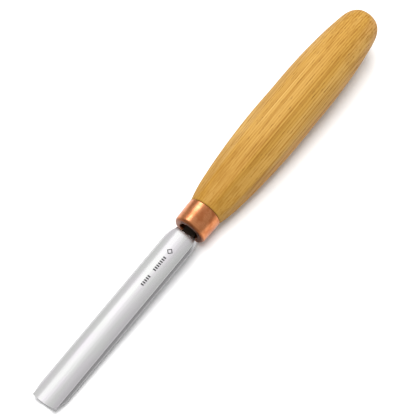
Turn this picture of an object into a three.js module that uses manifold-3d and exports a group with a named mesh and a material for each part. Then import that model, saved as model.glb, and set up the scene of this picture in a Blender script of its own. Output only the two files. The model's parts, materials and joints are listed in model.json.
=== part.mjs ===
// A palm carving gouge: a channelled steel blade with a tang, a copper ferrule and a softly eight-sided ash
// handle, with the resin that bonds the tang into the handle's bore. Millimetres, +Z up.
//
// The pieces are made in the tool's own frame: x runs along the tool from the cutting edge to the butt,
// y is across it and z points out of the channel. The whole tool then lies down on a bench, where it
// rests on the heel of its bevel and on a small flat under the belly of the handle.
import * as THREE from 'three';
import { ParametricGeometry } from 'three/addons/geometries/ParametricGeometry.js';
import { mergeVertices } from 'three/addons/utils/BufferGeometryUtils.js';
import Module from 'manifold-3d';

// ---- Driving dimensions ----
const EXPOSED_BLADE = 92.5; // from the cutting edge to the mouth of the ferrule
const FERRULE_LENGTH = 11;
const HANDLE_LENGTH = 113.4; // from the ferrule to the butt
const FIT_GAP = 0.3; // between pieces that touch on the real tool

// The blade is a strip bent into a channel, so its long edges face the centre of the bend. The floor of the
// channel is level with the tool's axis.
const CHANNEL_HALF_WIDTH = 5.65;
const CHANNEL_DEPTH = 1.88;
const STEEL_THICKNESS = 1.9;
const BEVEL_LENGTH = 6;
const EDGE_THICKNESS = 0.12;
const SHOULDER_START = 84.5; // here the blade begins to round in
const SHOULDER_REACH = 8;
const SHOULDER_DROP = 2.6;
const SHOULDER_SET_BACK = 1.3; // from the end of the shoulders to the mouth of the ferrule
const NECK_LENGTH = 7; // in front of the full tang the steel thickens about the tool's axis
const TANG_END = 150;
const TANG_HALF_WIDTH = 2.4;
const TANG_THICKNESS = 2.8;
const TANG_TIP_HALF_WIDTH = 1.1;
const TANG_TIP_THICKNESS = 1.8;
const TANG_CHANNEL_DEPTH = 0.05; // the tang's top is all but flat

const FERRULE_FRONT_RADIUS = 7.3;
const FERRULE_REAR_RADIUS = 7.55;
const FERRULE_WALL = 0.9;
const RIM_ROUNDING = 1.4; // between the ferrule's side and its front face
const MOUTH_RADIUS = 4.3; // the hole in the front face

const TENON_RADIUS = 6.05;
const TENON_SET_BACK = 4; // from the mouth of the ferrule to the end of the tenon
const TENON_OVERRUN = 4; // the tenon runs on inside the grip, so that the two join
const BORE_RADIUS = 4.2;
const BORE_DEPTH = 50; // past the shoulder of the handle
const DRILL_TIP = 2.4;
const BEDDING_START = 12; // from the mouth of the ferrule

// The handle's side outline is three smooth spans, each drawn out towards its neighbours by two pull points.
// Stations are measured from the handle's shoulder, and half-widths across the flats.
const SHOULDER_RADIUS = 7.5;
const BELLY_RADIUS = 11.65;
const BELLY_X = 66;
const REAR_X = 103;
const REAR_RADIUS = 9.1;
const SWELL_PULLS = [[14, 9.95], [38, BELLY_RADIUS]];
const TAPER_PULLS = [[80, BELLY_RADIUS], [93, 10.65]];
const BUTT_PULLS = [[109, 8.3], [HANDLE_LENGTH, 7.1]];
const REST_FLAT_DEPTH = 0.15;

// The handle's section is softly eight-sided. The higher the sharpness, the crisper its corners.
const FACETS = 8;
const SHOULDER_SHARPNESS = 8;
const CRISPEST_SHARPNESS = 30;
const BUTT_SHARPNESS = 9;
const CRISP_FROM = 10;
const SOFTENING_FROM = 24;
const SOFTENED_FROM = 62;

// ---- Derived places along the tool ----
const MOUTH_X = EXPOSED_BLADE;
const SHOULDER_END = MOUTH_X - SHOULDER_SET_BACK;
const CHANNEL_RADIUS = (CHANNEL_HALF_WIDTH ** 2 + CHANNEL_DEPTH ** 2) / (2 * CHANNEL_DEPTH);
const TANG_START = MOUTH_X + NECK_LENGTH;
const HANDLE_X = MOUTH_X + FERRULE_LENGTH;
const HEEL_DROP = STEEL_THICKNESS; // from the tool's axis down to the bevel's heel

// ---- Fineness of the faceted surfaces ----
const CHANNEL_SEGMENTS = 14;
const HANDLE_SEGMENTS = 48;
const OUTLINE_DIVISIONS = 12;
const ROUND_SEGMENTS = 40;
const MERGE_DISTANCE = 1e-4;

const wasm = await Module();
wasm.setup();

// ---- Solids and geometries ----

// A three.js geometry as a solid, with its shared corners merged and its collapsed triangles left out.
function solidOf(geometry) {
  geometry.deleteAttribute('normal');
  geometry.deleteAttribute('uv');
  const merged = mergeVertices(geometry, MERGE_DISTANCE);
  const corners = merged.index.array;
  const kept = [];
  for (let i = 0; i < corners.length; i += 3) {
    const [a, b, c] = corners.slice(i, i + 3);
    if (a !== b && b !== c && c !== a) kept.push(a, b, c);
  }
  const vertProperties = new Float32Array(merged.attributes.position.array);
  const triVerts = new Uint32Array(kept);
  return new wasm.Manifold(new wasm.Mesh({ numProp: 3, vertProperties, triVerts }));
}

function geometryOf(solid) {
  const { vertProperties, triVerts } = solid.getMesh();
  const geometry = new THREE.BufferGeometry();
  geometry.setAttribute('position', new THREE.BufferAttribute(vertProperties, 3));
  geometry.setIndex(new THREE.BufferAttribute(triVerts, 1));
  geometry.computeVertexNormals();
  return geometry;
}

// A closed body through a row of loops of points, which run counterclockwise seen from +X. Opposite points of
// a loop mirror each other, first with last, and each flat end closes along the seam midway between them.
function loft(loops) {
  const points = loops[0].length;
  const endSeam = (loop) => loop.map((p, i) => p.clone().add(loop[points - 1 - i]).multiplyScalar(0.5));
  const rows = [endSeam(loops[0]), ...loops, endSeam(loops.at(-1))];
  const surface = (u, v, target) => {
    const row = rows[Math.round(v * (rows.length - 1))];
    target.copy(row[Math.round(u * points) % points]);
  };
  return new ParametricGeometry(surface, points, rows.length - 1);
}

// A body turned about the x axis from a profile of (radius, x) points.
function turned(profile) {
  const geometry = new THREE.LatheGeometry(profile, ROUND_SEGMENTS);
  geometry.rotateZ(-Math.PI / 2);
  return geometry;
}

function point(radius, x) {
  return new THREE.Vector2(radius, x);
}

// ---- Blade ----

// How far x has come from one place to another, as a share from 0 to 1.
function share(x, from, to) {
  return THREE.MathUtils.clamp((x - from) / (to - from), 0, 1);
}

// Half the width of the channel, between its rims. Rounded shoulders end it in front of the narrow tang.
function channelHalfWidth(x) {
  if (x > SHOULDER_END) {
    return THREE.MathUtils.lerp(TANG_HALF_WIDTH, TANG_TIP_HALF_WIDTH, share(x, TANG_START, TANG_END));
  }
  const along = Math.max(0, x - SHOULDER_START) / SHOULDER_REACH;
  return CHANNEL_HALF_WIDTH - SHOULDER_DROP * (1 - Math.sqrt(1 - along ** 2));
}

// The steel's thickness, which the bevel under the tip grinds away to the cutting edge.
function steelThickness(x) {
  const ground = THREE.MathUtils.lerp(EDGE_THICKNESS, STEEL_THICKNESS, share(x, 0, BEVEL_LENGTH));
  const necking = THREE.MathUtils.smoothstep(x, MOUTH_X, TANG_START);
  const forged = THREE.MathUtils.lerp(ground, TANG_THICKNESS, necking);
  return THREE.MathUtils.lerp(forged, TANG_TIP_THICKNESS, share(x, TANG_START, TANG_END));
}

// One cross-section of the steel: the underside from left to right, then the channel from right to left.
// The clearance grows the section outwards, for the space that a neighbour leaves around it.
function bladeSection(x, clearance) {
  const flattening = THREE.MathUtils.smoothstep(x, SHOULDER_END, TANG_START);
  const halfWidth = channelHalfWidth(x);
  const sweepDepth = CHANNEL_RADIUS - Math.sqrt(CHANNEL_RADIUS ** 2 - halfWidth ** 2);
  const depth = THREE.MathUtils.lerp(sweepDepth, TANG_CHANNEL_DEPTH, flattening);
  const thickness = steelThickness(x);
  const bendRadius = (halfWidth ** 2 + depth ** 2) / (2 * depth);
  const bendAngle = Math.asin(halfWidth / bendRadius) + clearance / bendRadius;
  const rise = THREE.MathUtils.smoothstep(x, MOUTH_X, TANG_START) * (TANG_THICKNESS / 2);
  const centreZ = bendRadius + rise;
  const bentPoint = (radius, across) => {
    const angle = bendAngle * across;
    return new THREE.Vector3(x, radius * Math.sin(angle), centreZ - radius * Math.cos(angle));
  };
  const loop = [];
  for (let i = 0; i <= CHANNEL_SEGMENTS; i++) {
    loop.push(bentPoint(bendRadius + thickness + clearance, (2 * i) / CHANNEL_SEGMENTS - 1));
  }
  for (let i = 0; i <= CHANNEL_SEGMENTS; i++) {
    loop.push(bentPoint(bendRadius - clearance, 1 - (2 * i) / CHANNEL_SEGMENTS));
  }
  return loop;
}

// Stations at an even pitch from one place to another, both included.
function stations(from, to, count) {
  return Array.from({ length: count + 1 }, (_, i) => from + ((to - from) * i) / count);
}

function bladeGeometry() {
  const places = [
    ...stations(0, BEVEL_LENGTH, 3),
    ...stations(SHOULDER_START, SHOULDER_END, 10),
    ...stations(MOUTH_X, TANG_START, 5),
    TANG_END,
  ];
  return geometryOf(solidOf(loft(places.map((x) => bladeSection(x, 0)))));
}

// ---- Ferrule ----

// Points on an arc about (radius, x), with angle 0 pointing away from the tool's axis.
function arcPoints(centreRadius, centreX, arcRadius, fromAngle, toAngle, count) {
  return stations(fromAngle, toAngle, count).map((angle) =>
    point(centreRadius + arcRadius * Math.cos(angle), centreX + arcRadius * Math.sin(angle)));
}

function ferruleGeometry() {
  const cornerRadius = FERRULE_FRONT_RADIUS - RIM_ROUNDING;
  const lipRounding = FERRULE_WALL / 2;
  const lipRadius = MOUTH_RADIUS + lipRounding;
  const quarter = Math.PI / 2;
  const rear = FERRULE_LENGTH - FIT_GAP;
  const profile = [
    point(FERRULE_REAR_RADIUS - FERRULE_WALL, rear),
    ...arcPoints(cornerRadius, RIM_ROUNDING, RIM_ROUNDING - FERRULE_WALL, 0, -quarter, 3),
    ...arcPoints(lipRadius, lipRounding, lipRounding, quarter, 3 * quarter, 4),
    ...arcPoints(cornerRadius, RIM_ROUNDING, RIM_ROUNDING, -quarter, 0, 5),
    point(FERRULE_REAR_RADIUS, rear),
  ];
  profile.push(profile[0].clone());
  return geometryOf(solidOf(turned(profile)));
}

// ---- Handle ----

// The handle's side outline as (x, half-width across the flats), from its shoulder to the butt.
function handleOutline() {
  const outline = new THREE.Path();
  outline.moveTo(0, SHOULDER_RADIUS);
  outline.bezierCurveTo(...SWELL_PULLS.flat(), BELLY_X, BELLY_RADIUS);
  outline.bezierCurveTo(...TAPER_PULLS.flat(), REAR_X, REAR_RADIUS);
  outline.bezierCurveTo(...BUTT_PULLS.flat(), HANDLE_LENGTH, 0);
  return outline.getPoints(OUTLINE_DIVISIONS);
}

// How crisp the eight corners are: round at the shoulder, crispest just behind it, soft again at the butt.
function cornerSharpness(x) {
  const crispening = THREE.MathUtils.smoothstep(x, 0, CRISP_FROM);
  const softening = THREE.MathUtils.smoothstep(x, SOFTENING_FROM, SOFTENED_FROM);
  const grown = THREE.MathUtils.lerp(SHOULDER_SHARPNESS, CRISPEST_SHARPNESS, crispening);
  return THREE.MathUtils.lerp(grown, BUTT_SHARPNESS, softening);
}

// Distance from the axis to a softly eight-sided section of unit half-width, with a flat on top and below.
function facetedRadius(angle, sharpness) {
  const sides = stations(0, 2 * Math.PI, FACETS).slice(1);
  const sum = sides.reduce((total, side) => total + Math.max(0, Math.cos(angle - side)) ** sharpness, 0);
  return sum ** (-1 / sharpness);
}

function handleSection(x, halfWidth) {
  const halfStep = Math.PI / HANDLE_SEGMENTS;
  return stations(halfStep, 2 * Math.PI - halfStep, HANDLE_SEGMENTS - 1).map((angle) => {
    const radius = halfWidth * facetedRadius(angle, cornerSharpness(x));
    return new THREE.Vector3(x, radius * Math.cos(angle), radius * Math.sin(angle));
  });
}

// The slope of the bench under the tool: the steepest line from the bevel's heel that stays under the handle.
function restingTilt() {
  const slopes = handleOutline().map(({ x, y: halfWidth }) =>
    (halfWidth - REST_FLAT_DEPTH - HEEL_DROP) / (HANDLE_X + x - BEVEL_LENGTH));
  return Math.atan(Math.max(...slopes));
}

// Everything under the bench's surface, in the handle's own frame.
function benchSolid() {
  const length = 2 * (HANDLE_X + HANDLE_LENGTH);
  const width = 3 * BELLY_RADIUS;
  const bench = new THREE.BoxGeometry(length, width, width);
  bench.translate(0, 0, -width / 2);
  bench.rotateY(restingTilt());
  bench.translate(BEVEL_LENGTH - HANDLE_X, 0, -HEEL_DROP);
  return solidOf(bench);
}

function handleGeometry() {
  const sections = handleOutline().slice(0, -1).map(({ x, y }) => handleSection(x, y));
  const tenonEnd = TENON_SET_BACK - FERRULE_LENGTH;
  const tenon = turned([
    point(0, tenonEnd),
    point(TENON_RADIUS, tenonEnd),
    point(TENON_RADIUS, TENON_OVERRUN),
    point(0, TENON_OVERRUN),
  ]);
  const aheadOfTenon = tenonEnd - 1;
  const bore = turned([
    point(0, aheadOfTenon),
    point(BORE_RADIUS, aheadOfTenon),
    point(BORE_RADIUS, BORE_DEPTH),
    point(0, BORE_DEPTH + DRILL_TIP),
  ]);
  const grip = solidOf(loft(sections)).add(solidOf(tenon));
  return geometryOf(grip.subtract(solidOf(bore)).subtract(benchSolid()));
}

// ---- Tang bedding ----

// Resin that fills the bore around the tang, open where the tang passes through it.
function beddingGeometry() {
  const start = MOUTH_X + BEDDING_START;
  const end = HANDLE_X + BORE_DEPTH - FIT_GAP;
  const radius = BORE_RADIUS - FIT_GAP;
  const plug = turned([point(0, start), point(radius, start), point(radius, end), point(0, end)]);
  const places = [TANG_START, TANG_END + FIT_GAP];
  const tangSpace = loft(places.map((x) => bladeSection(x, FIT_GAP)));
  return geometryOf(solidOf(plug).subtract(solidOf(tangSpace)));
}

// ---- Materials ----

function material(color, roughness, metalness) {
  return new THREE.MeshStandardMaterial({ color, roughness, metalness });
}

const polishedSteel = material(0xc9cbcd, 0.28, 1);
const copper = material(0xc87a48, 0.35, 1);
const oiledAsh = material(0xd6a255, 0.55, 0);
const resin = material(0x4a3524, 0.5, 0);

// ---- Assembly ----

function piece(name, geometry, pieceMaterial, x) {
  const mesh = new THREE.Mesh(geometry, pieceMaterial);
  mesh.name = name;
  mesh.position.x = x;
  return mesh;
}

const tool = new THREE.Group();
tool.add(piece('blade', bladeGeometry(), polishedSteel, 0));
tool.add(piece('ferrule', ferruleGeometry(), copper, MOUTH_X));
tool.add(piece('handle', handleGeometry(), oiledAsh, HANDLE_X));
tool.add(piece('tang_bedding', beddingGeometry(), resin, 0));

// Lay the tool on the bench, then move it so that the origin is under the middle of its box.
tool.rotation.y = -restingTilt();
const box = new THREE.Box3().setFromObject(tool, true);
tool.position.x = -(box.min.x + box.max.x) / 2;
tool.position.y = -(box.min.y + box.max.y) / 2;
tool.position.z = -box.min.z;

const gouge = new THREE.Group();
gouge.add(tool);

export default gouge;
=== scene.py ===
"""A carving gouge lying on a pale floor: forged steel blade, copper ferrule and ash handle."""

import json
import math

import bpy
from mathutils import Matrix, Vector, noise


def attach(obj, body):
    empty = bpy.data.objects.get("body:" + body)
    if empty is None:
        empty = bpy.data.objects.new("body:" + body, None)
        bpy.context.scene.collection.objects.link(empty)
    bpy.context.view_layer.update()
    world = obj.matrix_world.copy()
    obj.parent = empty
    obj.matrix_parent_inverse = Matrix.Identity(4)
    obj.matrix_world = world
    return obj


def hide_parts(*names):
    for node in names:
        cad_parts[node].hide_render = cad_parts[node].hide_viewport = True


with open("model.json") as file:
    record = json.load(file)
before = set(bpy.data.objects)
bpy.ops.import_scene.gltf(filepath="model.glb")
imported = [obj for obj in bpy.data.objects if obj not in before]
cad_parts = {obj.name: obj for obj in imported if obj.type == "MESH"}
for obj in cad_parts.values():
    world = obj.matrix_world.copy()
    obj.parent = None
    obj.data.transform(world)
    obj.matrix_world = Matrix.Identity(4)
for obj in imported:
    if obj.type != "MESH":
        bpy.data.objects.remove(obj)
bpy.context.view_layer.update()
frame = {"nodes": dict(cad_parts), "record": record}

MM = 0.001

# Lengths along the tool's axis, in millimetres from the cutting edge.
BEVEL_END = 6.0
SHOULDER_START = 84.5
SHOULDER_REACH = 8.0
MOUTH = 92.5
SHOULDER_END = MOUTH - 1.3
TANG_START = 99.5
GRIP_START = 103.5
SEAT_POINT = 105.5
TANG_END = 150.0
BORE_END = GRIP_START + 50.0
GRIP_LENGTH = 113.4

# Blade section, in millimetres.
CHANNEL_HALF_WIDTH = 5.65
CHANNEL_DEPTH = 1.88
CHANNEL_RADIUS = (CHANNEL_HALF_WIDTH ** 2 + CHANNEL_DEPTH ** 2) / (2 * CHANNEL_DEPTH)
SHOULDER_DROP = 2.6
FLAT_DEPTH = 0.05
STEEL_THICKNESS = 1.9
EDGE_THICKNESS = 0.05
TANG_HALF_WIDTH = 2.4
TANG_THICKNESS = 2.8
TANG_TIP_HALF_WIDTH = 1.1
TANG_TIP_THICKNESS = 1.8
RIM_SOFTENING = 0.12
CORNER_STEPS = 4
RIM_STEPS = 4
WALL_STEPS = 56
EDGE_ZONE = 0.6

# Ferrule, in millimetres.
FERRULE_LENGTH = 10.7
FERRULE_FRONT_RADIUS = 7.3
FERRULE_REAR_RADIUS = 7.55
FERRULE_WALL = 0.9
FERRULE_ROUNDING = 1.4
MOUTH_RADIUS = 4.3
LIP_RADIUS = 0.45
LIP_INNER_ROUNDING = 0.5
REAR_ROUNDING = 0.2
REAR_CHAMFER = 0.08
REAR_CHAMFER_LENGTH = 0.12
UNEVENNESS = 0.045
UNEVEN_ALONG = 0.35
UNEVEN_AROUND = 2.2

# Handle, in millimetres.
TENON_RADIUS = 6.05
TENON_FRONT = MOUTH + 4.0
BORE_RADIUS = 4.2
DRILL_TIP = 2.4
GRIP_RADIUS = 7.5
BELLY_X = 66.0
BELLY_RADIUS = 11.65
REAR_X = 103.0
REAR_RADIUS = 9.1
FRONT_PULLS = ((14, 9.95), (38, BELLY_RADIUS))
REAR_PULLS = ((80, BELLY_RADIUS), (93, 10.65))
BUTT_PULLS = ((109, 8.3), (GRIP_LENGTH, 7.1))
BUTT_END_RADIUS = 0.15
BORE_CHAMFER = 0.3
TENON_CHAMFER = 0.4
DRILL_TIP_RADIUS = 0.2
GRIP_EDGE_DROP = 0.25
GRIP_EDGE_LENGTH = 0.5
FACETS = 8
FRONT_SHARPNESS = 8
CUT_SHARPNESS = 30
CUT_REACH = 10
BUTT_SHARPNESS = 9
SOFTENING_FROM = 24
SOFTENED_FROM = 62


def tool_frame():
    """Where the tool lies: +X runs from the edge to the butt, +Z comes out of the channel."""
    seat = next(m for m in frame["record"]["mounts"] if m["name"] == "rack_seat")
    along = -Vector(seat["axis"]).normalized()
    across = Vector((0, 1, 0))
    up = along.cross(across)
    start = Vector(seat["pos_m"]) - along * SEAT_POINT * MM
    turn = Matrix((along, across, up)).transposed().to_4x4()
    return Matrix.Translation(start) @ turn


TOOL = tool_frame()


# ---------------------------------------------------------------- geometry helpers

def lerp(a, b, share):
    return a + (b - a) * share


def share_of(value, start, end):
    return min(max((value - start) / (end - start), 0.0), 1.0)


def smooth(value, start, end):
    s = share_of(value, start, end)
    return s * s * (3 - 2 * s)


def spaced(start, end, step):
    """Values from start up to, and not including, end."""
    count = max(1, round((end - start) / step))
    return [lerp(start, end, i / count) for i in range(count)]


def bezier(p0, p1, p2, p3, s):
    r = 1 - s
    return tuple(
        r ** 3 * a + 3 * r * r * s * b + 3 * r * s * s * c + s ** 3 * d
        for a, b, c, d in zip(p0, p1, p2, p3)
    )


def arc_points(centre, radius, start, end, steps):
    for i in range(steps + 1):
        a = math.radians(lerp(start, end, i / steps))
        yield (centre[0] + radius * math.cos(a), centre[1] + radius * math.sin(a))


def add_piece(name, points, faces, material, replaced, smooth_angle=40):
    """A mesh in the tool's own frame, given in millimetres, riding on the one body."""
    mesh = bpy.data.meshes.new(name)
    mesh.from_pydata([TOOL @ (Vector(p) * MM) for p in points], [], faces)
    mesh.validate()
    mesh.update()
    obj = bpy.data.objects.new(name, mesh)
    bpy.context.scene.collection.objects.link(obj)
    mesh.materials.append(material)
    mesh.shade_smooth()
    mesh.set_sharp_from_angle(angle=math.radians(smooth_angle))
    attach(obj, "root")
    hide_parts(replaced)
    return obj


def skin(rings, closed_loop=False):
    """Points and faces of a closed skin through equal rings.

    Each open end is zipped shut along its middle. The faces of the open-ended skins, the blade's
    and the handle's, are wound so that their normals point inwards, which is a known fault.
    """
    count = len(rings[0])
    points = [p for ring in rings for p in ring]
    faces = []
    pairs = len(rings) if closed_loop else len(rings) - 1
    for i in range(pairs):
        a = i * count
        b = (i + 1) % len(rings) * count
        for j in range(count):
            k = (j + 1) % count
            faces.append((a + j, a + k, b + k, b + j))
    if not closed_loop:
        last = count * (len(rings) - 1)
        for j in range(count // 2):
            a, b = j, count - 1 - j
            c, d = b - 1, a + 1
            if c > d:
                faces.append((b, c, d, a))
                faces.append((last + a, last + d, last + c, last + b))
    return points, faces


# ---------------------------------------------------------------- node helpers

class Shader:
    """A Principled material and short calls for the nodes that feed it."""

    def __init__(self, name):
        self.material = bpy.data.materials.new(name)
        self.material.use_nodes = True
        self.tree = self.material.node_tree
        self.bsdf = self.tree.nodes["Principled BSDF"]

    def node(self, kind, **settings):
        made = self.tree.nodes.new(kind)
        for key, value in settings.items():
            setattr(made, key, value)
        return made

    def feed(self, socket, value):
        if isinstance(value, bpy.types.NodeSocket):
            self.tree.links.new(value, socket)
        elif value is not None:
            socket.default_value = value

    def set(self, **values):
        for key, value in values.items():
            self.feed(self.bsdf.inputs[key.replace("_", " ")], value)

    def math(self, operation, a, b=None, clamp=False):
        made = self.node("ShaderNodeMath", operation=operation, use_clamp=clamp)
        for socket, value in zip(made.inputs, (a, b)):
            self.feed(socket, value)
        return made.outputs[0]

    def place(self):
        """Position in the tool's frame, in millimetres."""
        made = self.node("ShaderNodeMapping", vector_type="TEXTURE")
        self.feed(made.inputs["Vector"], self.node("ShaderNodeTexCoord").outputs["Object"])
        made.inputs["Location"].default_value = TOOL.translation
        made.inputs["Rotation"].default_value = TOOL.to_euler()
        made.inputs["Scale"].default_value = (MM, MM, MM)
        return made.outputs["Vector"]

    def stretch(self, vector, scale):
        made = self.node("ShaderNodeVectorMath", operation="MULTIPLY")
        self.feed(made.inputs[0], vector)
        made.inputs[1].default_value = scale
        return made.outputs[0]

    def shift(self, vector, offset):
        made = self.node("ShaderNodeVectorMath", operation="ADD")
        self.feed(made.inputs[0], vector)
        self.feed(made.inputs[1], offset)
        return made.outputs[0]

    def upward(self):
        """How far the surface faces up: 1 on top, 0 on an upright side, below 0 underneath.

        Cycles turns the normal towards the viewer, which makes this right for faces wound inwards
        too. A bake doesn't, and there it has the opposite sign on them.
        """
        return self.split(self.node("ShaderNodeNewGeometry").outputs["Normal"])[2]

    def split(self, vector):
        made = self.node("ShaderNodeSeparateXYZ")
        self.feed(made.inputs[0], vector)
        return made.outputs

    def noise(self, vector, detail=2.0, roughness=0.5, output="Fac"):
        """Noise over a vector that already carries the scale."""
        made = self.node("ShaderNodeTexNoise")
        self.feed(made.inputs["Vector"], vector)
        made.inputs["Scale"].default_value = 1.0
        made.inputs["Detail"].default_value = detail
        made.inputs["Roughness"].default_value = roughness
        return made.outputs[output]

    def range(self, value, low, high, to_low=0.0, to_high=1.0):
        made = self.node("ShaderNodeMapRange", interpolation_type="SMOOTHSTEP")
        self.feed(made.inputs["Value"], value)
        made.inputs["From Min"].default_value = low
        made.inputs["From Max"].default_value = high
        made.inputs["To Min"].default_value = to_low
        made.inputs["To Max"].default_value = to_high
        return made.outputs["Result"]

    def mix(self, factor, a, b):
        made = self.node("ShaderNodeMix", data_type="RGBA")
        self.feed(made.inputs["Factor"], factor)
        for name, value in (("A", a), ("B", b)):
            socket = [s for s in made.inputs if s.name == name and s.type == "RGBA"][0]
            self.feed(socket, value)
        return [s for s in made.outputs if s.type == "RGBA"][0]

    def bump(self, height, distance, strength):
        made = self.node("ShaderNodeBump")
        made.inputs["Strength"].default_value = strength
        made.inputs["Distance"].default_value = distance
        self.feed(made.inputs["Height"], height)
        return made.outputs["Normal"]


# ---------------------------------------------------------------- materials

ASH_HONEY = (0.425, 0.236, 0.046, 1)
ASH_PALE = (0.485, 0.292, 0.078, 1)
ASH_ROSY = (0.46, 0.235, 0.076, 1)
ASH_RING = (0.255, 0.112, 0.014, 1)
ASH_HAIR = (0.27, 0.125, 0.016, 1)
ASH_PORE = (0.16, 0.068, 0.014, 1)
ASH_BY_FERRULE = (0.30, 0.145, 0.016, 1)
FROM_PITH = (0.0, -57.0, -19.6)
RINGS_PER_MM = 0.95
RING_UNEVENNESS = 0.9
GRAIN_SWAY = 0.9
DARKER_LENGTH = 45
GRAIN_DEPTH = 0.00004


def ash_material():
    """Honey-coloured ash: straight growth rings, fine fibre and short dark pores."""
    s = Shader("ash_wood")
    here = s.place()
    sway = s.noise(s.stretch(here, (0.012, 0.06, 0.06)), detail=1.0, output="Color")
    swayed = s.shift(here, s.stretch(s.shift(sway, (-0.5, -0.5, -0.5)), (0.0, GRAIN_SWAY, GRAIN_SWAY)))
    off_pith = s.split(s.shift(swayed, FROM_PITH))
    squares = [s.math("POWER", off_pith[i], 2.0) for i in (1, 2)]
    spread = s.math("SQRT", s.math("ADD", *squares))
    uneven = s.noise(s.stretch(here, (0.003, 0.11, 0.11)), detail=2.0)
    counted = s.math("MULTIPLY", spread, RINGS_PER_MM)
    rings = s.math("FRACT", s.math("ADD", counted, s.math("MULTIPLY", uneven, RING_UNEVENNESS)))
    early = s.math("MULTIPLY", s.range(rings, 0.0, 0.15), s.range(rings, 0.7, 0.2))

    band = s.noise(s.stretch(here, (0.006, 0.16, 0.16)), detail=2.0, roughness=0.6)
    fibre = s.noise(s.stretch(swayed, (0.005, 0.95, 0.95)), detail=4.0, roughness=0.65)
    hair = s.noise(s.stretch(swayed, (0.02, 3.2, 3.2)), detail=3.0, roughness=0.6)
    pores = s.noise(s.stretch(swayed, (0.24, 2.9, 2.9)), detail=1.0)
    pores = s.math("MULTIPLY", s.range(pores, 0.60, 0.70), s.range(early, 0.0, 0.8, 0.2, 1.0))

    honey = s.mix(s.range(band, 0.35, 0.65), ASH_HONEY, ASH_PALE)
    rosy = s.noise(s.stretch(s.shift(here, (40.0, 9.0, 3.0)), (0.008, 0.12, 0.12)), detail=1.0)
    honey = s.mix(s.range(rosy, 0.48, 0.72, 0.0, 0.6), honey, ASH_ROSY)
    ring_streak = s.math("MULTIPLY", early, s.range(band, 0.35, 0.62, 0.55, 0.25))
    streak = s.math("ADD", ring_streak, s.range(fibre, 0.46, 0.60, 0.0, 0.5), clamp=True)
    wood = s.mix(streak, honey, ASH_RING)
    wood = s.mix(s.range(hair, 0.3, 0.7, 0.0, 0.2), wood, ASH_HAIR)
    wood = s.mix(s.math("MULTIPLY", pores, 0.75), wood, ASH_PORE)

    near_ferrule = s.range(s.split(here)[0], GRIP_START, GRIP_START + DARKER_LENGTH, 0.55, 0.0)
    wood = s.mix(near_ferrule, wood, ASH_BY_FERRULE)

    rough = s.math("ADD", s.range(fibre, 0.3, 0.7, 0.48, 0.58), s.math("MULTIPLY", pores, 0.15))
    height = s.math("SUBTRACT", s.math("MULTIPLY", fibre, 0.5), s.math("MULTIPLY", pores, 0.8))
    s.set(Base_Color=wood, Roughness=rough, Normal=s.bump(height, GRAIN_DEPTH, 0.6))
    s.set(Specular_IOR_Level=0.1)
    return s.material


COOL_STEEL = (0.79, 0.80, 0.785, 1)
WARM_STEEL = (0.805, 0.775, 0.81, 1)
SMEARED_STEEL = (0.74, 0.73, 0.735, 1)
ETCHED_STEEL = (0.02, 0.02, 0.022, 1)
# Painted shade: steel tone for where the blade faces sideways or down.
SHADED_SIDE_STEEL = (0.35, 0.345, 0.35, 1)
# Forge scale on the neck and tang; where it shows in front of the mouth it is painted shade.
FORGE_SCALE_AND_MOUTH_SHADE = (0.055, 0.040, 0.030, 1)
SCALE_AND_SHADE_OVERLAP = 0.1
UNSHADED_ABOVE = 0.74
SHADE_BELOW = 0.66
POLISH_DEPTH = 0.000003


def steel_material():
    """Satin forged steel with fine polishing marks along the blade. It is darker where it faces
    sideways or down, as painted shade, and dark forge scale on the neck and tang also serves as
    painted shade in front of the mouth.
    """
    s = Shader("satin_steel")
    here = s.place()
    lines = s.noise(s.stretch(here, (0.015, 1.6, 1.6)), detail=3.0, roughness=0.6)
    smear = s.noise(s.stretch(here, (0.03, 0.35, 0.35)), detail=2.0)
    tint = s.noise(s.stretch(s.shift(here, (7.0, 3.0, 0.0)), (0.06, 0.25, 0.25)), detail=1.0)
    tone = s.mix(s.range(tint, 0.35, 0.65), COOL_STEEL, WARM_STEEL)
    tone = s.mix(s.range(smear, 0.3, 0.7, 0.0, 0.5), tone, SMEARED_STEEL)
    tone = s.mix(etched_mark(s, here), tone, ETCHED_STEEL)
    # Painted shade: the steel darkens where it faces sideways or down, standing in for dimmer
    # reflections.
    painted_side_shade = s.range(s.upward(), UNSHADED_ABOVE, SHADE_BELOW)
    tone = s.mix(painted_side_shade, tone, SHADED_SIDE_STEEL)
    # Forge scale on the neck and tang; where it shows in front of the mouth it is painted shade.
    forged = s.math("GREATER_THAN", s.split(here)[0], SHOULDER_END - SCALE_AND_SHADE_OVERLAP)
    tone = s.mix(forged, tone, FORGE_SCALE_AND_MOUTH_SHADE)
    rough = s.math("ADD", s.range(lines, 0.3, 0.7, 0.17, 0.22), s.range(smear, 0.3, 0.7, -0.02, 0.03))
    rough = s.math("ADD", rough, s.math("MULTIPLY", forged, 0.4))
    s.set(Base_Color=tone, Metallic=1.0, Roughness=rough, Normal=s.bump(lines, POLISH_DEPTH, 0.5))
    return s.material


MARK_LINE = 0.65
MARK_PITCH = 1.1
MARK_ROWS = ((62.4, 5), (70.4, 7))
MARK_LOZENGE = 81.0
MARK_TICK_REACH = 0.7
MARK_TICK_SHARE = 0.29
MARK_LOZENGE_REACH = 1.4
MARK_LOZENGE_HOLE = 0.85
MARK_STRENGTH = 0.9


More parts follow.
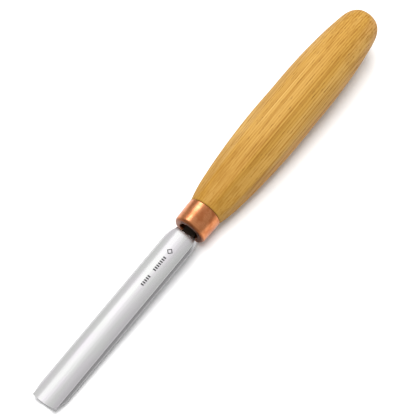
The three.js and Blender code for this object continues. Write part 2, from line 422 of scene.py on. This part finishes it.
def etched_mark(s, here):
    """A plain etched scale near the ferrule: two rows of ticks and a lozenge. Returns its mask."""
    x, y = s.split(here)[0], s.split(here)[1]
    off_line = s.math("ABSOLUTE", s.math("SUBTRACT", y, MARK_LINE))
    near_line = s.math("LESS_THAN", off_line, MARK_TICK_REACH)
    mask = None
    for start, count in MARK_ROWS:
        steps = s.math("DIVIDE", s.math("SUBTRACT", x, start), MARK_PITCH)
        off_tick = s.math("ABSOLUTE", s.math("SUBTRACT", s.math("FRACT", steps), 0.5))
        tick = s.math("LESS_THAN", off_tick, MARK_TICK_SHARE)
        before_last = s.math("LESS_THAN", steps, float(count))
        within = s.math("MULTIPLY", s.math("GREATER_THAN", steps, 0.0), before_last)
        row = s.math("MULTIPLY", s.math("MULTIPLY", tick, within), near_line)
        mask = row if mask is None else s.math("MAXIMUM", mask, row)
    reach = s.math("ADD", s.math("ABSOLUTE", s.math("SUBTRACT", x, MARK_LOZENGE)), off_line)
    off_hole = s.math("GREATER_THAN", reach, MARK_LOZENGE_HOLE)
    lozenge = s.math("MULTIPLY", s.math("LESS_THAN", reach, MARK_LOZENGE_REACH), off_hole)
    return s.math("MULTIPLY", s.math("MAXIMUM", mask, lozenge), MARK_STRENGTH)


COPPER = (0.57, 0.218, 0.088, 1)
PATINA = (0.38, 0.105, 0.030, 1)
TURNED_COPPER = (0.45, 0.15, 0.045, 1)
COPPER_SPECK = (0.36, 0.12, 0.04, 1)
# Painted shade on the ferrule's front face and lip at the mouth.
MOUTH_SHADE_COPPER = (0.13, 0.036, 0.011, 1)
MOUTH_SHADE_START = MOUTH + 0.2
MOUTH_SHADE_END = MOUTH + 1.1
TURNING_DEPTH = 0.000009


def copper_material():
    """Warm copper tube with turning marks round it and a darker, handled patina. Its front face and
    lip at the mouth are darkened as painted shade.
    """
    s = Shader("worn_copper")
    here = s.place()
    turned = s.noise(s.stretch(here, (3.2, 0.10, 0.10)), detail=3.0, roughness=0.65)
    patch = s.noise(s.stretch(here, (0.24, 0.30, 0.30)), detail=3.0, roughness=0.55)
    speck = s.noise(s.stretch(here, (1.3, 1.0, 1.0)), detail=3.0, roughness=0.6)
    tone = s.mix(s.range(patch, 0.42, 0.64, 0.0, 0.65), COPPER, PATINA)
    tone = s.mix(s.range(turned, 0.45, 0.65, 0.0, 0.35), tone, TURNED_COPPER)
    tone = s.mix(s.range(speck, 0.5, 0.75, 0.0, 0.35), tone, COPPER_SPECK)
    rough = s.math("ADD", s.range(turned, 0.3, 0.7, 0.27, 0.33), s.range(patch, 0.4, 0.7, 0.0, 0.04))
    # Painted shade: darkens the front face and lip at the mouth.
    painted_mouth_shade = s.range(s.split(here)[0], MOUTH_SHADE_START, MOUTH_SHADE_END, 0.85, 0.0)
    tone = s.mix(painted_mouth_shade, tone, MOUTH_SHADE_COPPER)
    s.set(Base_Color=tone, Metallic=1.0, Roughness=rough, Normal=s.bump(turned, TURNING_DEPTH, 0.6))
    s.set(Coat_Weight=0.06, Coat_Roughness=0.28)
    return s.material


RESIN_DARK = (0.30, 0.16, 0.05, 1)
RESIN_LIGHT = (0.42, 0.25, 0.09, 1)
RESIN_RIPPLE = 0.00004


def resin_material():
    """Amber bedding resin, seen only when the handle is taken off."""
    s = Shader("bedding_resin")
    here = s.place()
    cloud = s.noise(s.stretch(here, (0.6, 0.6, 0.6)), detail=3.0)
    tone = s.mix(s.range(cloud, 0.3, 0.7), RESIN_DARK, RESIN_LIGHT)
    rough = s.range(cloud, 0.3, 0.7, 0.2, 0.4)
    s.set(Base_Color=tone, Roughness=rough, Normal=s.bump(cloud, RESIN_RIPPLE, 0.4))
    return s.material


CARD_DARK = (0.84, 0.84, 0.845, 1)
CARD_LIGHT = (0.86, 0.86, 0.86, 1)
CARD_TOOTH = 0.00002


def floor_material():
    """Matt white card with a barely visible tooth."""
    s = Shader("white_card")
    here = s.place()
    tooth = s.noise(s.stretch(here, (1.5, 1.5, 1.5)), detail=3.0)
    tone = s.mix(tooth, CARD_DARK, CARD_LIGHT)
    s.set(Base_Color=tone, Normal=s.bump(tooth, CARD_TOOTH, 0.2))
    s.set(Roughness=0.9, Specular_IOR_Level=0.1)
    return s.material


# ---------------------------------------------------------------- blade

def channel_half_width(x):
    if x <= SHOULDER_END:
        along = max(0.0, x - SHOULDER_START) / SHOULDER_REACH
        return CHANNEL_HALF_WIDTH - SHOULDER_DROP * (1 - math.sqrt(1 - along * along))
    return lerp(TANG_HALF_WIDTH, TANG_TIP_HALF_WIDTH, share_of(x, TANG_START, TANG_END))


def steel_thickness(x):
    ground = lerp(EDGE_THICKNESS, STEEL_THICKNESS, share_of(x, 0, BEVEL_END))
    necked = lerp(ground, TANG_THICKNESS, smooth(x, MOUTH, TANG_START))
    return lerp(necked, TANG_TIP_THICKNESS, share_of(x, TANG_START, TANG_END))


def strip_outline(reach, thick, soft):
    """A flat strip's outline as (across, out) pairs, with its four corners softened."""
    strip = []
    corners = [(1, soft, -90), (1, thick - soft, 0), (-1, thick - soft, 90), (-1, soft, 180)]
    flats = [RIM_STEPS, WALL_STEPS, RIM_STEPS, WALL_STEPS]
    for i, (side, level, start) in enumerate(corners):
        centre = (side * (reach - soft), level)
        strip += list(arc_points(centre, soft, start, start + 90, CORNER_STEPS))
        next_side, next_level, next_start = corners[(i + 1) % 4]
        turn = math.radians(next_start)
        goal = (
            next_side * (reach - soft) + soft * math.cos(turn),
            next_level + soft * math.sin(turn),
        )
        last = strip[-1]
        strip += [
            (lerp(last[0], goal[0], k / flats[i]), lerp(last[1], goal[1], k / flats[i]))
            for k in range(1, flats[i])
        ]
    return strip


def blade_section(x):
    """One section through the blade: the strip bent round the channel."""
    half = channel_half_width(x)
    thick = steel_thickness(x)
    sweep_depth = CHANNEL_RADIUS - math.sqrt(CHANNEL_RADIUS ** 2 - half ** 2)
    depth = lerp(sweep_depth, FLAT_DEPTH, smooth(x, SHOULDER_END, TANG_START))
    radius = (half * half + depth * depth) / (2 * depth)
    reach = radius * math.asin(half / radius)
    rise = smooth(x, MOUTH, TANG_START) * TANG_THICKNESS / 2
    centre_z = radius + rise
    ring = []
    for across, out in strip_outline(reach, thick, min(RIM_SOFTENING, 0.35 * thick)):
        angle = across / radius
        r = radius + out
        ring.append((x, r * math.sin(angle), centre_z - r * math.cos(angle)))
    return ring


def blade_stations():
    """Where the blade's sections lie, closest where its shape changes most."""
    bevel_behind = BEVEL_END + EDGE_ZONE
    stations = spaced(0, EDGE_ZONE, 0.15) + spaced(EDGE_ZONE, bevel_behind, 0.3)
    stations += spaced(bevel_behind, SHOULDER_START, 1.2)
    stations += spaced(SHOULDER_START, SHOULDER_END, 0.3)
    stations += [SHOULDER_END, SHOULDER_END + 0.02]
    stations += spaced(MOUTH, TANG_START, 0.35) + spaced(TANG_START, TANG_END, 2.0) + [TANG_END]
    return stations


def make_blade(material):
    rings = [blade_section(x) for x in blade_stations()]
    points, faces = skin(rings)
    return add_piece("gouge_blade", points, faces, material, "blade", 28)


# ---------------------------------------------------------------- ferrule

def ferrule_outline():
    """The ferrule's section as a closed outline of (distance behind the mouth, radius)."""
    rear = FERRULE_LENGTH
    inner_rear = FERRULE_REAR_RADIUS - FERRULE_WALL
    inner_front = FERRULE_FRONT_RADIUS - FERRULE_WALL
    round_in, lip = LIP_INNER_ROUNDING, LIP_RADIUS
    outline = [(rear, inner_rear + REAR_CHAMFER), (rear - REAR_CHAMFER_LENGTH, inner_rear)]
    outline += [(rear - i, lerp(inner_rear, inner_front, i / rear)) for i in range(1, 9)]
    corner = (FERRULE_WALL + round_in, inner_front - round_in)
    outline += list(arc_points(corner, round_in, 90, 180, 6))
    outline += list(arc_points((lip, MOUTH_RADIUS + lip), lip, 0, -180, 14))[1:]
    rounding = FERRULE_ROUNDING
    front = FERRULE_FRONT_RADIUS - rounding
    outline += [(0.0, lerp(MOUTH_RADIUS + lip, front, i / 4)) for i in range(1, 4)]
    outline += list(arc_points((rounding, front), rounding, 180, 90, 14))
    wall_end = rear - REAR_ROUNDING
    outline += [
        (lerp(rounding, wall_end, i / 22), lerp(FERRULE_FRONT_RADIUS, FERRULE_REAR_RADIUS, i / 22))
        for i in range(1, 22)
    ]
    outline += list(
        arc_points((wall_end, FERRULE_REAR_RADIUS - REAR_ROUNDING), REAR_ROUNDING, 90, 0, 5)
    )
    return outline


def make_ferrule(material):
    """The ferrule, with its outside very slightly out of round."""
    around = 256
    outline = ferrule_outline()
    bore = FERRULE_FRONT_RADIUS - FERRULE_WALL
    rings = []
    for i in range(around):
        angle = 2 * math.pi * i / around
        ring = []
        for behind, radius in outline:
            spot = Vector((
                behind * UNEVEN_ALONG,
                math.cos(angle) * UNEVEN_AROUND,
                math.sin(angle) * UNEVEN_AROUND,
            ))
            uneven = UNEVENNESS * noise.noise(spot) * share_of(radius, MOUTH_RADIUS, bore)
            r = radius + uneven
            ring.append((MOUTH + behind, r * math.sin(angle), r * math.cos(angle)))
        rings.append(ring)
    points, faces = skin(rings, closed_loop=True)
    return add_piece("copper_ferrule", points, faces, material, "ferrule", 40)


# ---------------------------------------------------------------- handle

def grip_outline():
    """Half width of the grip against distance behind its shoulder."""
    spans = [
        ((0, GRIP_RADIUS), *FRONT_PULLS, (BELLY_X, BELLY_RADIUS), 110),
        ((BELLY_X, BELLY_RADIUS), *REAR_PULLS, (REAR_X, REAR_RADIUS), 70),
        ((REAR_X, REAR_RADIUS), *BUTT_PULLS, (GRIP_LENGTH, 0), 60),
    ]
    outline = []
    for p0, p1, p2, p3, steps in spans:
        outline += [bezier(p0, p1, p2, p3, i / steps) for i in range(steps)]
    return outline


def facet_sharpness(x):
    """How crisply the grip's eight flats meet, at a distance behind its shoulder."""
    cut = lerp(FRONT_SHARPNESS, CUT_SHARPNESS, smooth(x, 0, CUT_REACH))
    return lerp(cut, BUTT_SHARPNESS, smooth(x, SOFTENING_FROM, SOFTENED_FROM))


def faceted_radius(half, sharpness, angle):
    """The radius at an angle of a softened octagon whose flats are half away from the axis."""
    total = 0.0
    for i in range(FACETS):
        facing = math.cos(angle - 2 * math.pi * i / FACETS)
        if facing > 0:
            total += facing ** sharpness
    return half * total ** (-1 / sharpness)


def on_floor(point):
    """Keeps a point of the handle above the floor that the tool rests on."""
    world = TOOL @ (Vector(point) * MM)
    world.z = max(world.z, 0.0)
    return TOOL.inverted() @ world / MM


def make_handle(material):
    around = 240
    angles = [2 * math.pi * i / around for i in range(around)]

    def circle(x, radius):
        return [(x, radius * math.sin(a), radius * math.cos(a)) for a in angles]

    bore = spaced(TENON_FRONT + BORE_CHAMFER, BORE_END, 4.0) + [BORE_END]
    rings = [circle(BORE_END + DRILL_TIP, DRILL_TIP_RADIUS)]
    rings += [circle(x, BORE_RADIUS) for x in reversed(bore)]
    rings.append(circle(TENON_FRONT, BORE_RADIUS + BORE_CHAMFER))
    rings.append(circle(TENON_FRONT, TENON_RADIUS - TENON_CHAMFER))
    rings.append(circle(TENON_FRONT + TENON_CHAMFER, TENON_RADIUS))
    rings.append(circle(GRIP_START, TENON_RADIUS))
    rings += [circle(GRIP_START, lerp(TENON_RADIUS, GRIP_RADIUS, i / 4)) for i in range(1, 4)]
    for x, half in grip_outline():
        sharpness = facet_sharpness(x)
        soft_front = GRIP_EDGE_DROP * (1 - share_of(x, 0, GRIP_EDGE_LENGTH)) ** 2
        ring = []
        for a in angles:
            r = faceted_radius(half, sharpness, a) - soft_front
            ring.append((GRIP_START + x, r * math.sin(a), r * math.cos(a)))
        rings.append(ring)
    rings.append(circle(GRIP_START + GRIP_LENGTH, BUTT_END_RADIUS))
    points, faces = skin(rings)
    points = [on_floor(p) for p in points]
    return add_piece("ash_handle", points, faces, material, "handle", 35)


# ---------------------------------------------------------------- studio

FLOOR_HALF = 3.0
FLOOR_GAP = 0.00002


def make_floor(material):
    half = FLOOR_HALF
    mesh = bpy.data.meshes.new("floor")
    corners = [(-half, -half, 0), (half, -half, 0), (half, half, 0), (-half, half, 0)]
    mesh.from_pydata(corners, [], [(0, 1, 2, 3)])
    mesh.materials.append(material)
    floor = bpy.data.objects.new("floor", mesh)
    floor.location.z = -FLOOR_GAP
    bpy.context.scene.collection.objects.link(floor)


def softbox(name, anchor_x, side_angle, along_lean, distance, size, power, colour=(1, 1, 1)):
    """A rectangular light over the tool. Angles are seen from the anchor on the tool's axis."""
    side = math.radians(side_angle)
    lean = math.radians(along_lean)
    away = Vector((math.sin(lean), math.cos(lean) * math.sin(side), math.cos(lean) * math.cos(side)))
    light = bpy.data.lights.new(name, "AREA")
    light.shape = "RECTANGLE"
    light.size, light.size_y = size
    light.energy = power
    light.color = colour
    obj = bpy.data.objects.new(name, light)
    bpy.context.scene.collection.objects.link(obj)
    turn = TOOL.to_3x3()
    axis = turn @ Vector((1, 0, 0))
    back = (turn @ away).normalized()
    along = (axis - back * back.dot(axis)).normalized()
    across = back.cross(along)
    place = TOOL @ Vector((anchor_x * MM, 0, 0)) + back * distance
    facing = Matrix((along, across, back)).transposed().to_4x4()
    obj.matrix_world = Matrix.Translation(place) @ facing
    obj.visible_camera = False
    return obj


def link_light(light, name, lit=(), unlit=()):
    """Limits which pieces a softbox lights, as a studio's flags and screens do."""
    group = bpy.data.collections.new(name)
    for obj in (*lit, *unlit):
        group.objects.link(obj)
    for member in group.collection_objects:
        member.light_linking.link_state = "INCLUDE" if lit else "EXCLUDE"
    light.light_linking.receiver_collection = group


HORIZON_LIGHT = 0.55
ZENITH_LIGHT = 0.82


def make_dome():
    """White surroundings that grow brighter towards the top."""
    world = bpy.data.worlds.new("studio_dome")
    bpy.context.scene.world = world
    world.use_nodes = True
    nodes, links = world.node_tree.nodes, world.node_tree.links
    height = nodes.new("ShaderNodeSeparateXYZ")
    links.new(nodes.new("ShaderNodeTexCoord").outputs["Generated"], height.inputs[0])
    glow = nodes.new("ShaderNodeMapRange")
    links.new(height.outputs["Z"], glow.inputs["Value"])
    glow.inputs["To Min"].default_value = HORIZON_LIGHT
    glow.inputs["To Max"].default_value = ZENITH_LIGHT
    links.new(glow.outputs["Result"], nodes["Background"].inputs["Strength"])
    nodes["Background"].inputs["Color"].default_value = (1, 1, 1, 1)


STRIPE_RIGHT_SIDE = -24
STRIPE_STEPS = ((2, 0.21), (16, 0.16), (32, 0.11))
STRIPE_LENGTH = 0.34
STRIPE_DISTANCE = 0.5
STRIPE_ANCHOR = 60
STRIPE_LEAN = 20.5


def make_lights(blade, ferrule):
    """The dome, two general softboxes for the wood and floor, and the metals' own softboxes."""
    make_dome()
    key = softbox(
        "key_softbox", anchor_x=150, side_angle=32, along_lean=22,
        distance=0.9, size=(0.7, 0.4), power=3.8,
    )
    link_light(key, "flagged_off_the_metal", unlit=[blade, ferrule])
    fill = softbox(
        "overhead_softbox", anchor_x=110, side_angle=2, along_lean=8,
        distance=1.0, size=(0.8, 0.6), power=10.2,
    )
    link_light(fill, "flagged_off_the_bright_metal", unlit=[blade, ferrule])
    glow = softbox(
        "ferrule_softbox", anchor_x=100, side_angle=34, along_lean=26,
        distance=0.6, size=(0.5, 0.25), power=2.0, colour=(0.90, 1.0, 1.25),
    )
    link_light(glow, "screened_to_the_ferrule", lit=[ferrule])
    for left_side, strength in STRIPE_STEPS:
        middle = (left_side + STRIPE_RIGHT_SIDE) / 2
        half = (left_side - STRIPE_RIGHT_SIDE) / 2
        width = 2 * STRIPE_DISTANCE * math.tan(math.radians(half))
        name = f"stripe_softbox_{left_side}"
        stripe = softbox(
            name, STRIPE_ANCHOR, middle, STRIPE_LEAN, STRIPE_DISTANCE,
            size=(STRIPE_LENGTH, width), power=strength * math.pi * width * STRIPE_LENGTH,
        )
        link_light(stripe, f"screened_for_{name}", lit=[blade])


CAMERA_AZIMUTH = -52.95
CAMERA_ELEVATION = 59.3
CAMERA_DISTANCE = 1.0
CAMERA_LENS = 213.0
CAMERA_SENSOR = 36.0
AIM_ALONG = 105.3
AIM_SIDE = -1.12
CAMERA_NEAR = 0.05
CAMERA_FAR = 20.0


def make_camera():
    azimuth, elevation = math.radians(CAMERA_AZIMUTH), math.radians(CAMERA_ELEVATION)
    back = Vector((
        math.sin(azimuth) * math.cos(elevation),
        -math.cos(azimuth) * math.cos(elevation),
        math.sin(elevation),
    ))
    camera = bpy.data.cameras.new("camera")
    camera.lens = CAMERA_LENS
    camera.sensor_width = CAMERA_SENSOR
    camera.clip_start, camera.clip_end = CAMERA_NEAR, CAMERA_FAR
    obj = bpy.data.objects.new("camera", camera)
    bpy.context.scene.collection.objects.link(obj)
    aim = TOOL @ Vector((AIM_ALONG * MM, AIM_SIDE * MM, 0))
    obj.rotation_mode = "QUATERNION"
    obj.rotation_quaternion = (-back).to_track_quat("-Z", "Y")
    obj.location = aim + back * CAMERA_DISTANCE
    bpy.context.scene.camera = obj


def main():
    blade = make_blade(steel_material())
    ferrule = make_ferrule(copper_material())
    make_handle(ash_material())
    bedding = frame["nodes"]["tang_bedding"]
    bedding.data.materials.clear()
    bedding.data.materials.append(resin_material())
    make_floor(floor_material())
    make_lights(blade, ferrule)
    make_camera()
    bpy.context.scene.view_settings.view_transform = "Standard"


main()
